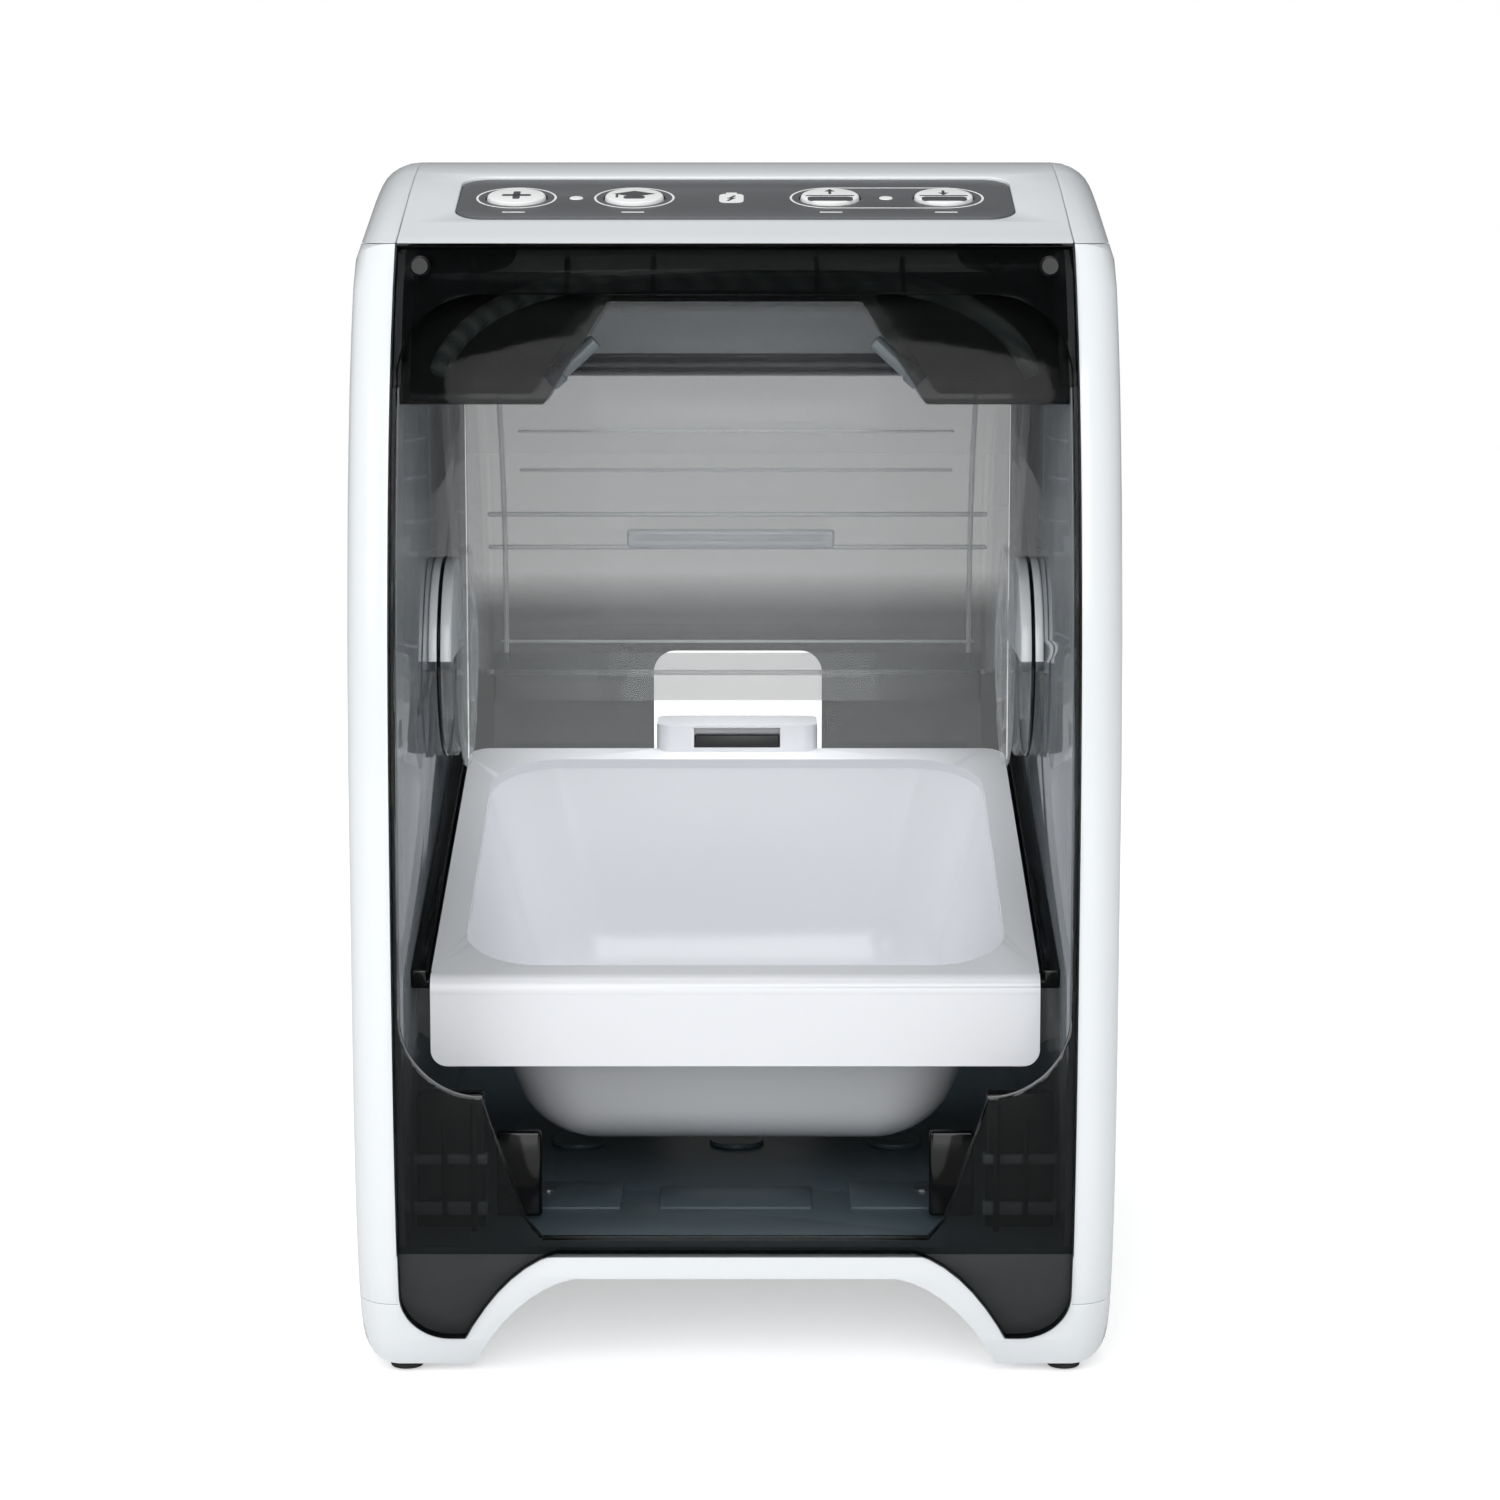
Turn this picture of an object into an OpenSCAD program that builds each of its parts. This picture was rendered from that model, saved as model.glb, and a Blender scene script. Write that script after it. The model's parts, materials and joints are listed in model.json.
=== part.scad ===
/* [Casing] */
// Overall width of the feeder
body_w = 230; // [220:1:245]
// Depth of the casing from its bulged front to its back
body_d = 290; // [282:1:300]
// Height of the casing top above the surface it stands on
body_h = 368; // [364:1:376]
// Thickness of each hollow side casing
side_t = 13; // [12.5:0.5:14]
// Radius of the casing's outer edges
edge_r = 12; // [8:0.5:12.4]
// Wall of the white mouldings
wall = 3; // [2.6:0.1:3.2]
// Height of the seam between the base and the side casings
seam_low = 24; // [20:1:28]
// Height of the top mouldings above their seam
cap_h = 26; // [25:1:30]
// Height of the bow cut under the front edge
arch_h = 33; // [28:1:36]
// Half width of the bow at its flat crown
arch_half = 52; // [46:1:56]

/* [Liner] */
// Wall of the tinted mouldings
tint_t = 2.4; // [2:0.1:2.6]
// Height of the liner floor
floor_z = 42; // [40:1:44]
// Width of the cut-out in the rear shield
cut_w = 62; // [50:1:70]
// Height of the top of that cut-out above the bowl rim's middle
cut_rise = 48.6; // [44:0.2:52]

/* [Lid] */
// Depth of the lid pivot below the top seam
pivot_drop = 136; // [134:1:137]
// Outer radius of the curved lid
lid_r = 120; // [118:0.5:121]
// Wall of the clear lid
lid_t = 2.2; // [1.8:0.1:2.6]
// Space between each lid side plate and the liner, for the hub
hub_space = 7.5; // [7:0.5:9]
// Angle that the lid spans
lid_span = 136; // [132:1:138]
// Angle of the lid's lower rear edge when it is open
lid_low = -10; // [-12:1:-8]
// Radius of the hub drums
hub_r = 33; // [30:1:34]
// Radius of the clear flange on each hub
flange_r = 36; // [35:0.5:38]
// Radius of the hub shaft
shaft_r = 5; // [4:0.5:6]

/* [Bowl] */
// Gap between each side of the bowl rim and the liner
bowl_gap = 6.5; // [5.5:0.5:8]
// Length of the bowl over its rim, along the slope
bowl_l = 182; // [178:1:186]
// Slope of the rim towards the front
tilt = 14.8; // [13:0.1:15]
// Height of the turned-down front lip
lip_h = 27; // [22:1:30]
// Clear height between the bowl and the liner floor
under_gap = 10; // [8:0.5:12]
// Wall of the bowl
bowl_t = 2.6; // [2.2:0.1:3]
// Width of the flat rim at the sides
rim_w = 9; // [8:0.5:12]

/* [Controls] */
// Slope of the control panel
panel_tilt = 15; // [14:0.5:16]
// Width of the dark control panel
panel_w = 172; // [160:1:176]
// Length of the dark control panel up the slope
panel_l = 46; // [42:1:48]
// Radius of each button cap
button_r = 9.4; // [8:0.1:10]
// Travel of each button
travel = 1; // [0.8:0.1:1.2]
// Radius of each foot
foot_r = 5.5; // [5:0.5:6]

/* [Hidden] */
$fn = 64;
fit = 0.05;
clear = 0.4;
inner_half = body_w / 2 - side_t;
liner_x = inner_half - tint_t - 0.1;
lid_half = liner_x - hub_space;
bowl_w = 2 * (liner_x - bowl_gap);
seam_high = body_h - cap_h;
pivot_z = seam_high - pivot_drop;
rim_y = -27;
rim_z = pivot_z - 62.6;
cut_top = rim_z + cut_rise;
wall_top = seam_high - 42;
bulge_z = seam_high - 177;
front_y = -body_d / 2;
back_y = body_d / 2;

// A cubic arc from one point to another, drawn with two handles.
function bez(a, b, c, d, n) = [for (i = [0:n - 1]) let (t = i / n, u = 1 - t)
    u * u * u * a + 3 * u * u * t * b + 3 * u * t * t * c + t * t * t * d];

// Where the control deck starts, and where it reaches the crown, behind the front.
deck_y = 44;
crown_y = 131;

// Side outline of the casing: y is the depth and z the height. Grow draws it in or out.
foot_h = 2.5;
sill_z = foot_h;
function outline(g) = concat(
    bez([front_y + 20 - g, sill_z - g], [front_y + 2 - g, 30], [front_y - g, 80], [front_y - g, bulge_z], 10),
    bez([front_y - g, bulge_z], [front_y - g, bulge_z + 70], [front_y + 12 - g, wall_top],
        [front_y + deck_y - g, seam_high], 10),
    bez([front_y + deck_y - g, seam_high + g / 2], [front_y + deck_y + 28, seam_high + 8 + g],
        [front_y + crown_y - 36, body_h - 8 + g], [front_y + crown_y, body_h - 1 + g], 8),
    bez([front_y + crown_y, body_h - 1 + g], [front_y + crown_y + 14, body_h + g],
        [front_y + crown_y + 24, body_h + g], [front_y + crown_y + 38, body_h + g], 3),
    bez([front_y + crown_y + 38, body_h + g], [back_y - 40, body_h + g], [back_y - 8 + g, body_h - 16],
        [back_y - 4 + g, wall_top], 10),
    bez([back_y - 4 + g, wall_top], [back_y + 1.7 + g, wall_top - 60], [back_y + 1.7 + g, 100],
        [back_y - 6 + g, sill_z - g], 8),
    [[back_y - 6 + g, sill_z - g]]);

// A slab of the side outline that stands across the width from x0 to x1.
module slab(x0, x1, g = 0) {
    translate([x0, 0, 0]) rotate([90, 0, 90]) linear_extrude(x1 - x0) polygon(outline(g));
}

edge_steps = 7;

// The side outline with its outer edge rounded towards the side face.
module rounded_slab(x0, x1) {
    hull() {
        slab(x0, x1 - edge_r);
        for (i = [1:edge_steps]) {
            a = 90 * i / edge_steps;
            slab(x1 - edge_r + edge_r * sin(a) - 0.01, x1 - edge_r + edge_r * sin(a), -edge_r * (1 - cos(a)));
        }
    }
}

module band(z0, z1) {
    translate([-body_w, -body_d, z0]) cube([2 * body_w, 2 * body_d, z1 - z0]);
}

// Draws its children, a shape in width and height, along the depth from y0 to y1.
module through_y(y0, y1) {
    translate([0, y1, 0]) rotate([90, 0, 0]) linear_extrude(y1 - y0) children();
}

// Draws its children, a shape in depth and height, across the width from x0 to x1.
module across_x(x0, x1) {
    translate([x0, 0, 0]) rotate([90, 0, 90]) linear_extrude(x1 - x0) children();
}

// A rectangle with round corners.
module rounded_rect(x0, z0, x1, z1, r) {
    translate([x0 + r, z0]) square([x1 - x0 - 2 * r, z1 - z0]);
    translate([x0, z0 + r]) square([x1 - x0, z1 - z0 - 2 * r]);
    for (x = [x0 + r, x1 - r], z = [z0 + r, z1 - r]) translate([x, z]) circle(r);
}

// A round rod along the width.
module rod_x(x0, x1, y, z, r) {
    translate([x0, y, z]) rotate([0, 90, 0]) cylinder(h = x1 - x0, r = r);
}

// Outline of the bow between the legs.
function bow_side(h, half, spread) = bez([-half - spread, -5], [-half - spread + 8, h * 0.5],
    [-half - 8, h], [-half + 8, h], 10);
function bow(h, half, spread) = concat(bow_side(h, half, spread),
    [for (i = [9:-1:0]) [-bow_side(h, half, spread)[i][0], bow_side(h, half, spread)[i][1]]]);

module mirrored(left) {
    if (left) mirror([1, 0, 0]) children();
    else children();
}

// Front frame before its opening is cut. Gap grows the space that it needs in its neighbours.
bezel_t = 3.2;
bezel_foot = 12;
bezel_top = seam_high - 0.5;
module bezel_blank(gap) {
    intersection() {
        difference() {
            slab(-inner_half - gap + clear, inner_half + gap - clear);
            slab(-body_w, body_w, -bezel_t - gap);
        }
        through_y(front_y - 5, -60) difference() {
            union() {
                rounded_rect(-inner_half - gap + clear, bezel_foot - gap, inner_half + gap - clear, 120, 15);
                translate([-inner_half - gap + clear, 60])
                    square([2 * (inner_half + gap - clear), bezel_top + gap - 60]);
            }
            polygon(bow(floor_z - 0.5 - gap, arch_half + 5 - gap, 32));
        }
    }
}

module casing_half() {
    difference() {
        rounded_slab(inner_half, body_w / 2);
        slab(inner_half - 1, body_w / 2 - wall - 5, -wall);
        slab(inner_half - 1, body_w / 2 - wall, -wall - 5);
    }
}

module side_casing(left) {
    mirrored(left) color("white") intersection() {
        casing_half();
        band(seam_low, seam_high);
    }
}

module battery_cover(left) {
    mirrored(left) color("white") intersection() {
        casing_half();
        band(seam_high + 0.2, body_h + 5);
    }
}

screw_r = 1.6;
module floor_screw_places() {
    for (s = [-1, 1], y = [front_y + 75, back_y - 45]) translate([s * (inner_half - 42), y, 0]) children();
}

module foot_places() {
    for (s = [-1, 1], y = [front_y + 27, back_y - 24]) translate([s * (inner_half - 1), y, 0]) children();
}

// White base: sill, legs and the floor that the liner stands on.
module base_frame() {
    color("white") difference() {
        intersection() {
            union() {
                rounded_slab(0, body_w / 2);
                mirror([1, 0, 0]) rounded_slab(0, body_w / 2);
            }
            band(foot_h, floor_z - tint_t);
        }
        through_y(-body_d, body_d) polygon(bow(arch_h, arch_half, 31));
        for (s = [-1, 1]) translate([s * (inner_half + 20) - 20 + s * 0.01, -body_d, seam_low - 0.2])
            cube([40, 2 * body_d, 60]);
        for (s = [-1, 1]) intersection() {
            translate([s * (inner_half - 15) - 12, -body_d, foot_h + wall]) cube([24, 2 * body_d, 60]);
            slab(-body_w, body_w, -wall - 3);
        }
        bezel_blank(0.2);
        foot_places() cylinder(h = 20, r = foot_r - 2 + fit, center = true);
        floor_screw_places() translate([0, 0, arch_h - 1]) cylinder(h = 20, r = screw_r + fit);
    }
}

// White top moulding with the sloping control deck.
panel_y = front_y + 90;
panel_z = body_h - 12.6;
module on_deck() {
    translate([0, panel_y, panel_z]) rotate([panel_tilt, 0, 0]) children();
}
button_x = [-68.2, -31.5, 29.4, 64.8];
led_x = [-49.6, 46.8];
module top_cover() {
    color("white") difference() {
        intersection() {
            slab(-inner_half + 0.2, inner_half - 0.2);
            band(seam_high + 0.2, body_h + 5);
        }
        slab(-inner_half + wall, inner_half - wall, -wall - 1.5);
        on_deck() {
            through_deck(-20, 20) rounded_deck(panel_w + 0.4, panel_l + 0.4, 9);
        }
    }
}

module rounded_deck(w, l, r) {
    rounded_rect(-w / 2, -l / 2, w / 2, l / 2, r);
}

module through_deck(z0, z1) {
    translate([0, 0, z0]) linear_extrude(z1 - z0) children();
}

panel_top = 0.6;
module control_panel() {
    color("dimgray") on_deck() difference() {
        through_deck(panel_top - 2.4, panel_top) rounded_deck(panel_w, panel_l, 9);
        for (x = button_x) translate([x, 0, -20]) cylinder(h = 40, r = button_r + 0.35);
        for (x = led_x) translate([x, 0, -20]) cylinder(h = 40, r = 2.2);
    }
}

module indicator_leds() {
    color("whitesmoke") on_deck() for (x = led_x) translate([x, 0, -4.4])
        cylinder(h = panel_top + 4.5, r = 2.15);
}

module button_cap(x) {
    color("whitesmoke") on_deck() translate([x, 0, 0]) {
        translate([0, 0, -0.6]) cylinder(h = panel_top + 1.5, r1 = button_r, r2 = button_r - 0.5);
        translate([0, 0, travel - 3.6]) cylinder(h = 3.2 - travel, r = 3);
    }
}

module control_board() {
    color("darkgreen") on_deck() {
        through_deck(-6, -4.4) rounded_deck(panel_w - 6, panel_l - 4, 2);
        for (x = button_x) translate([x - 3, -3, -4.5]) cube([6, 6, 0.8]);
        translate([-10, -8, -4.5]) cube([12, 12, 1.6]);
        for (x = [-72, 0, 72], y = [-14, 14]) translate([x, y, -4.5]) cylinder(h = 4.5 + panel_top - 2.4, r = 1.8);
    }
}

// Tinted front frame with the entry opening.
open_half = liner_x + 0.3;
open_top = seam_high - 15;
open_r = 24;
ledge_z = 90;
module front_bezel() {
    color([0.09, 0.1, 0.11]) difference() {
        bezel_blank(0);
        through_y(front_y - 5, -40) difference() {
            union() {
                rounded_rect(-open_half, ledge_z, open_half, open_top, open_r);
                polygon([[-open_half + open_r, ledge_z + 1], [-open_half + 37, floor_z + 10],
                    [-open_half + 42, floor_z + 4], [open_half - 42, floor_z + 4], [open_half - 37, floor_z + 10],
                    [open_half - open_r, ledge_z + 1], [open_half - 4, ledge_z + 30], [-open_half + 4, ledge_z + 30]]);
            }
        }
        bezel_screw_places() translate([0, 0, -20]) cylinder(h = 40, r = screw_r + 2 * fit);
    }
}

module bezel_screw_places() {
    for (s = [-1, 1]) translate([s * (liner_x - 5.5), front_y + 37.6, seam_high - 6.5]) rotate([-90, 0, 0]) children();
}

module bezel_screws() {
    color("black") bezel_screw_places() {
        cylinder(h = 12, r = screw_r + fit);
        translate([0, 0, -1.6]) cylinder(h = 1.6, r1 = 2.4, r2 = 3.1);
    }
}

// Side wall of the food bay, with the bore for the lid shaft.
module liner_wall(left) {
    mirrored(left) color([0.35, 0.37, 0.4]) difference() {
        across_x(liner_x, liner_x + tint_t) intersection() {
            polygon(outline(-bezel_t - 0.3));
            translate([front_y, floor_z]) square([body_d - 10, wall_top - floor_z]);
        }
        rod_x(liner_x - 1, liner_x + 5, 0, pivot_z, shaft_r + fit);
    }
}

// Floor of the food bay, on the base.
module liner_floor() {
    color([0.16, 0.18, 0.2]) difference() {
        intersection() {
            slab(-liner_x - tint_t, liner_x + tint_t, -bezel_t - 0.3);
            band(floor_z - tint_t, floor_z);
        }
        floor_screw_places() translate([0, 0, floor_z - 5]) cylinder(h = 20, r = screw_r + fit);
    }
}

// Tinted back of the feeder, with the cut-out for the bowl tab.
module rear_shield() {
    color([0.3, 0.32, 0.35]) difference() {
        intersection() {
            difference() {
                slab(-liner_x + 0.01, liner_x - 0.01, -bezel_t - 0.3);
                slab(-body_w, body_w, -bezel_t - 0.3 - tint_t);
            }
            translate([-body_w, 90, floor_z]) cube([2 * body_w, 80, wall_top - floor_z]);
        }
        through_y(100, 160) {
            rounded_rect(-cut_w / 2, 60, cut_w / 2, cut_top, 8);
            translate([-cut_w / 2, floor_z + 20]) square([cut_w, 60]);
        }
    }
}

// Black inner housing above the lid, with a pod at each side of the entry.
ceiling_low = seam_high - 47;
sweep_r = lid_r + 4;
pod_low = liner_x - 39.5;
pod_high = liner_x - 61.5;
module ceiling_housing() {
    color([0.05, 0.05, 0.06]) difference() {
        intersection() {
            slab(-liner_x + 0.3, liner_x - 0.3, -bezel_t - 1.2);
            band(ceiling_low, seam_high);
        }
        rod_x(-body_w, body_w, 0, pivot_z, sweep_r);
        bezel_screw_places() translate([0, 0, -2]) cylinder(h = 16, r = screw_r + 2 * fit);
        through_y(front_y, 20) polygon([[-pod_low, ceiling_low - 5], [-pod_high, open_top - 2],
            [pod_high, open_top - 2], [pod_low, ceiling_low - 5]]);
        translate([-body_w, 20, ceiling_low - 5]) cube([2 * body_w, 200, 10]);
        difference() {
            intersection() {
                slab(-liner_x + 3, liner_x - 3, -bezel_t - 3.6);
                band(ceiling_low + 3, body_h + 12);
            }
            rod_x(-body_w, body_w, 0, pivot_z, sweep_r + 2.4);
            through_y(front_y, 40) polygon([[-pod_low - 6, ceiling_low - 5], [-pod_high - 3, open_top + 0.5],
                [pod_high + 3, open_top + 0.5], [pod_low + 6, ceiling_low - 5]]);
            translate([-body_w, 18, 0]) cube([2 * body_w, 200, ceiling_low + 8]);
        }
    }
}

module sector(r, a0, a1) {
    polygon(concat([[0, 0]], [for (i = [0:24]) r * [cos(a0 + (a1 - a0) * i / 24), sin(a0 + (a1 - a0) * i / 24)]]));
}

// Curved wall about the lid pivot.
module drum_band(r0, r1, x0, x1, a0, a1) {
    translate([0, 0, pivot_z]) across_x(x0, x1) intersection() {
        difference() {
            circle(r1, $fn = 128);
            circle(r0, $fn = 128);
        }
        sector(2 * r1, a0, a1);
    }
}

// Clear fixed wall behind the bowl, inside the path of the lid.
guard_r = lid_r - lid_t - 1;
module rear_guard() {
    color([0.8, 0.84, 0.86]) {
        drum_band(guard_r - 2, guard_r, -lid_half + 4, lid_half - 4, -26, 80);
        for (s = [-1, 1]) translate([s * (lid_half - 32) - 24, guard_r * cos(24) - 2, pivot_z - guard_r * sin(24) - 2])
            cube([48, back_y - bezel_t - 3 - tint_t - guard_r * cos(24), 2]);
    }
}

module on_rim() {
    translate([0, rim_y, rim_z]) rotate([tilt, 0, 0]) children();
}

// Ledge that carries one side of the bowl rim.
rim_t = 3;
rail_x = bowl_w / 2 - rim_w + bowl_t + 1.2;
module bowl_rail(left) {
    mirrored(left) color([0.06, 0.06, 0.07]) on_rim() {
        translate([rail_x, -bowl_l / 2 + 6, -rim_t - 3.2]) cube([liner_x - rail_x, bowl_l - 8, 3]);
        translate([bowl_w / 2 + 1.2, -bowl_l / 2 + 6, -rim_t - 0.3]) cube([liner_x - bowl_w / 2 - 1.2, bowl_l - 8, 3.4]);
        for (y = [-60, 0, 60]) translate([liner_x - 5, y, -rim_t - 12]) cube([5, 3, 9]);
    }
}

// Round white boss on the liner wall that carries the lid shaft.
boss_t = 3.2;
module hub_mount(left) {
    mirrored(left) color("whitesmoke") difference() {
        rod_x(liner_x - boss_t, liner_x, 0, pivot_z, hub_r);
        rod_x(0, body_w, 0, pivot_z, shaft_r + fit);
    }
}

module lid_hub(left) {
    mirrored(left) color("white") difference() {
        rod_x(lid_half, liner_x - boss_t - clear, 0, pivot_z, hub_r);
        rod_x(lid_half + 1.6, liner_x, 0, pivot_z, hub_r - 12);
    }
}

module lid_flanges() {
    color([0.85, 0.88, 0.9]) for (s = [false, true]) mirrored(s)
        rod_x(lid_half - lid_t - 1.4, lid_half - lid_t, 0, pivot_z, flange_r);
}

module lid_shaft() {
    color("silver") for (s = [false, true]) mirrored(s)
        rod_x(lid_half + 1.6, body_w / 2 - wall - 1.2, 0, pivot_z, shaft_r);
}

// Clear lid: a curved wall and a plate at each end, cut to lie just above the bowl rim when shut.
lid_close = 95;
lid_gap = 1.3;
module lid_shell() {
    color([0.85, 0.88, 0.9]) {
        drum_band(lid_r - lid_t, lid_r, -lid_half, lid_half, lid_low, lid_low + lid_span);
        for (s = [false, true]) mirrored(s) lid_plate();
        drum_band(lid_r - 0.2, lid_r + 2, -30, 30, lid_low + 44, lid_low + 46.5);
    }
}

module lid_plate() {
    difference() {
        drum_band(1, lid_r, lid_half - lid_t, lid_half, lid_low, lid_low + lid_span);
        translate([0, 0, pivot_z]) rotate([-lid_close, 0, 0]) translate([0, 0, -pivot_z])
            translate([0, 0, lid_gap]) on_rim() translate([0, -2 * lid_r, -4 * lid_r]) cube([body_w, 4 * lid_r, 4 * lid_r]);
    }
}

module lid_seal() {
    color([0.75, 0.76, 0.78]) drum_band(lid_r - lid_t - 0.8, lid_r - lid_t, -lid_half + 3, lid_half - 3,
        lid_low + lid_span - 6, lid_low + lid_span - 0.5);
}

// Spur gear about an axis along the width.
module spur(teeth, r, x0, x1, tooth = 1) {
    step = 360 / teeth;
    across_x(x0, x1) {
        circle(r - 1.2 * tooth);
        for (i = [0:teeth - 1]) rotate(i * step) polygon([[r - 1.6 * tooth, -step * r * 0.0052],
            [r + 0.8 * tooth, -step * r * 0.0024], [r + 0.8 * tooth, step * r * 0.0024],
            [r - 1.6 * tooth, step * r * 0.0052]]);
    }
}

gear_teeth = 54;
pinion_teeth = 12;
gear_r = gear_teeth / 2;
pinion_r = pinion_teeth / 2;
gear_x0 = liner_x + tint_t + 1;
gear_w = 4;
motor_y = gear_r + pinion_r + 0.2;
module lid_gear() {
    color("ivory") difference() {
        translate([0, 0, pivot_z]) spur(gear_teeth, gear_r, gear_x0, gear_x0 + gear_w);
        rod_x(gear_x0 - 1, gear_x0 + gear_w + 1, 0, pivot_z, shaft_r);
    }
}

motor_shaft_r = 2.4;
module motor_pinion() {
    color("gold") difference() {
        translate([0, motor_y, pivot_z]) rotate([180 / pinion_teeth, 0, 0])
            spur(pinion_teeth, pinion_r, gear_x0, gear_x0 + gear_w);
        rod_x(gear_x0 - 1, gear_x0 + gear_w + 1, motor_y, pivot_z, motor_shaft_r);
    }
}

module motor_shaft() {
    color("silver") rod_x(gear_x0, gear_x0 + gear_w + 3, motor_y, pivot_z, motor_shaft_r);
}

module lid_motor() {
    color("silver") difference() {
        translate([gear_x0 + gear_w + 0.4, motor_y - 10, pivot_z - 14])
            cube([body_w / 2 - wall - 0.4 - gear_x0 - gear_w, 24, 44]);
        rod_x(gear_x0, gear_x0 + gear_w + 3 + fit, motor_y, pivot_z, motor_shaft_r + fit);
    }
}

// A tube swept along points that run from left to right.
module tube(path, r, sides) {
    n = len(path);
    dirs = [for (i = [0:n - 1]) let (d = path[min(i + 1, n - 1)] - path[max(i - 1, 0)]) d / norm(d)];
    points = [for (i = [0:n - 1]) let (u = cross(dirs[i], [0, 1, 0]) / norm(cross(dirs[i], [0, 1, 0])),
        v = cross(dirs[i], u)) for (k = [0:sides - 1])
            path[i] + r * (u * cos(360 * k / sides) + v * sin(360 * k / sides))];
    walls = [for (i = [0:n - 2], k = [0:sides - 1]) let (a = i * sides + k, b = i * sides + (k + 1) % sides)
        [a, a + sides, b + sides, b]];
    polyhedron(points, concat(walls, [[for (k = [0:sides - 1]) k],
        [for (k = [sides - 1:-1:0]) (n - 1) * sides + k]]), convexity = 4);
}

module antenna_coil() {
    x = liner_x - 10.5;
    half = bez([-x, front_y + 34.6, seam_high - 39], [-x + 5, front_y + 42.6, seam_high - 22],
        [-x + 25, front_y + 52.6, seam_high - 10.6], [-x + 59, front_y + 52.6, seam_high - 10.6], 12);
    path = concat(half, [for (i = [11:-1:0]) [-half[i][0], half[i][1], half[i][2]]]);
    color([0.3, 0.34, 0.34]) tube(path, 3.2, 10);
}

cell_r = 7;
module battery_cells() {
    color("goldenrod") for (s = [-1, 1]) translate([s * (liner_x - 17.5), 55, pivot_z + sweep_r + 2.4 + cell_r])
        rotate([90, 0, 0]) cylinder(h = 100, r = cell_r);
}

// Round-cornered pan below the rim, drawn in towards its bottom.
pan_x = bowl_w / 2 - rim_w;
pan_y = bowl_l / 2 - 10;
pan_corner = 24;
pan_draft = 14;
bowl_deep = rim_z - floor_z - under_gap - (bowl_l / 2 - pan_draft) * sin(tilt) + 3;
pan_foot = min(26, (bowl_deep - bowl_t) / 2);
module pan_shape(grow, deep) {
    hull() for (x = [-1, 1], y = [-1, 1]) {
        translate([x * (pan_x - pan_corner), y * (pan_y - pan_corner), -0.5])
            cylinder(h = 0.5, r = pan_corner + grow, $fn = 32);
        translate([x * (pan_x - pan_draft - pan_foot), y * (pan_y - pan_draft - pan_foot), pan_foot + grow - deep])
            sphere(pan_foot + grow, $fn = 32);
    }
}

module bowl() {
    color("white") difference() {
        union() {
            on_rim() {
                translate([0, 0, -rim_t]) linear_extrude(rim_t)
                    rounded_rect(-bowl_w / 2, -bowl_l / 2, bowl_w / 2, bowl_l / 2, 7);
                translate([0, 0, -rim_t + 0.2]) pan_shape(bowl_t, bowl_deep);
            }
            bowl_lip();
            bowl_tab();
        }
        on_rim() translate([0, 0, -rim_t + 0.2]) {
            pan_shape(0, bowl_deep - bowl_t);
            translate([0, 0, -0.6]) linear_extrude(10) rounded_rect(-pan_x, -pan_y, pan_x, pan_y, pan_corner);
        }
        bowl_tab_slot();
    }
}

// Front lip, turned down from the rim and upright.
lip_t = 3;
module bowl_lip() {
    ytop = rim_y - cos(tilt) * bowl_l / 2;
    ztop = rim_z - sin(tilt) * bowl_l / 2;
    translate([0, ytop + 0.2, ztop - lip_h]) rotate([90, 0, 0]) translate([0, 0, -lip_t])
        linear_extrude(lip_t) {
            rounded_rect(-bowl_w / 2, 0, bowl_w / 2, 14, 5);
            translate([-bowl_w / 2, 7]) square([bowl_w, lip_h - 8]);
        }
}

module bowl_tab() {
    ry = rim_y + cos(tilt) * bowl_l / 2;
    rz = rim_z + sin(tilt) * bowl_l / 2;
    translate([0, ry - 3, rz - 4]) linear_extrude(12.5) rounded_rect(-28, 0, 28, 26, 5);
}

module bowl_tab_slot() {
    ry = rim_y + cos(tilt) * bowl_l / 2;
    rz = rim_z + sin(tilt) * bowl_l / 2;
    translate([-15, ry - 3.1, rz + 0.6]) cube([30, 5, 7]);
}

module bowl_grip() {
    ry = rim_y + cos(tilt) * bowl_l / 2;
    rz = rim_z + sin(tilt) * bowl_l / 2;
    color("black") translate([-14.8, ry - 2.9, rz + 0.6]) cube([29.6, 4.8, 4.4]);
}

module base_screws() {
    color("silver") floor_screw_places() translate([0, 0, arch_h - 0.8]) {
        cylinder(h = floor_z - arch_h + 0.8, r = screw_r);
        translate([0, 0, floor_z - arch_h + 0.8]) cylinder(h = 1.4, r = 3);
    }
}

module feet() {
    color("black") foot_places() {
        cylinder(h = foot_h, r1 = foot_r - 0.6, r2 = foot_r);
        cylinder(h = foot_h + wall - 0.2, r = foot_r - 2);
    }
}

base_frame();
side_casing(true);  // left_side_casing
side_casing(false);  // right_side_casing
top_cover();
battery_cover(true);  // left_battery_cover
battery_cover(false);  // right_battery_cover
front_bezel();
liner_wall(true);  // left_liner
liner_wall(false);  // right_liner
liner_floor();
rear_shield();
ceiling_housing();
rear_guard();
bowl_rail(true);  // left_rail
bowl_rail(false);  // right_rail
hub_mount(true);  // left_hub_mount
hub_mount(false);  // right_hub_mount
control_panel();
indicator_leds();
control_board();
antenna_coil();
battery_cells();
lid_motor();
motor_pinion();
motor_shaft();
bezel_screws();
base_screws();
feet();
lid_shell();
lid_seal();
lid_flanges();
lid_hub(true);  // left_hub
lid_hub(false);  // right_hub
lid_shaft();
lid_gear();
bowl();
bowl_grip();
button_cap(button_x[0]);  // button_add
button_cap(button_x[1]);  // button_train
button_cap(button_x[2]);  // button_open
button_cap(button_x[3]);  // button_close
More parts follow.
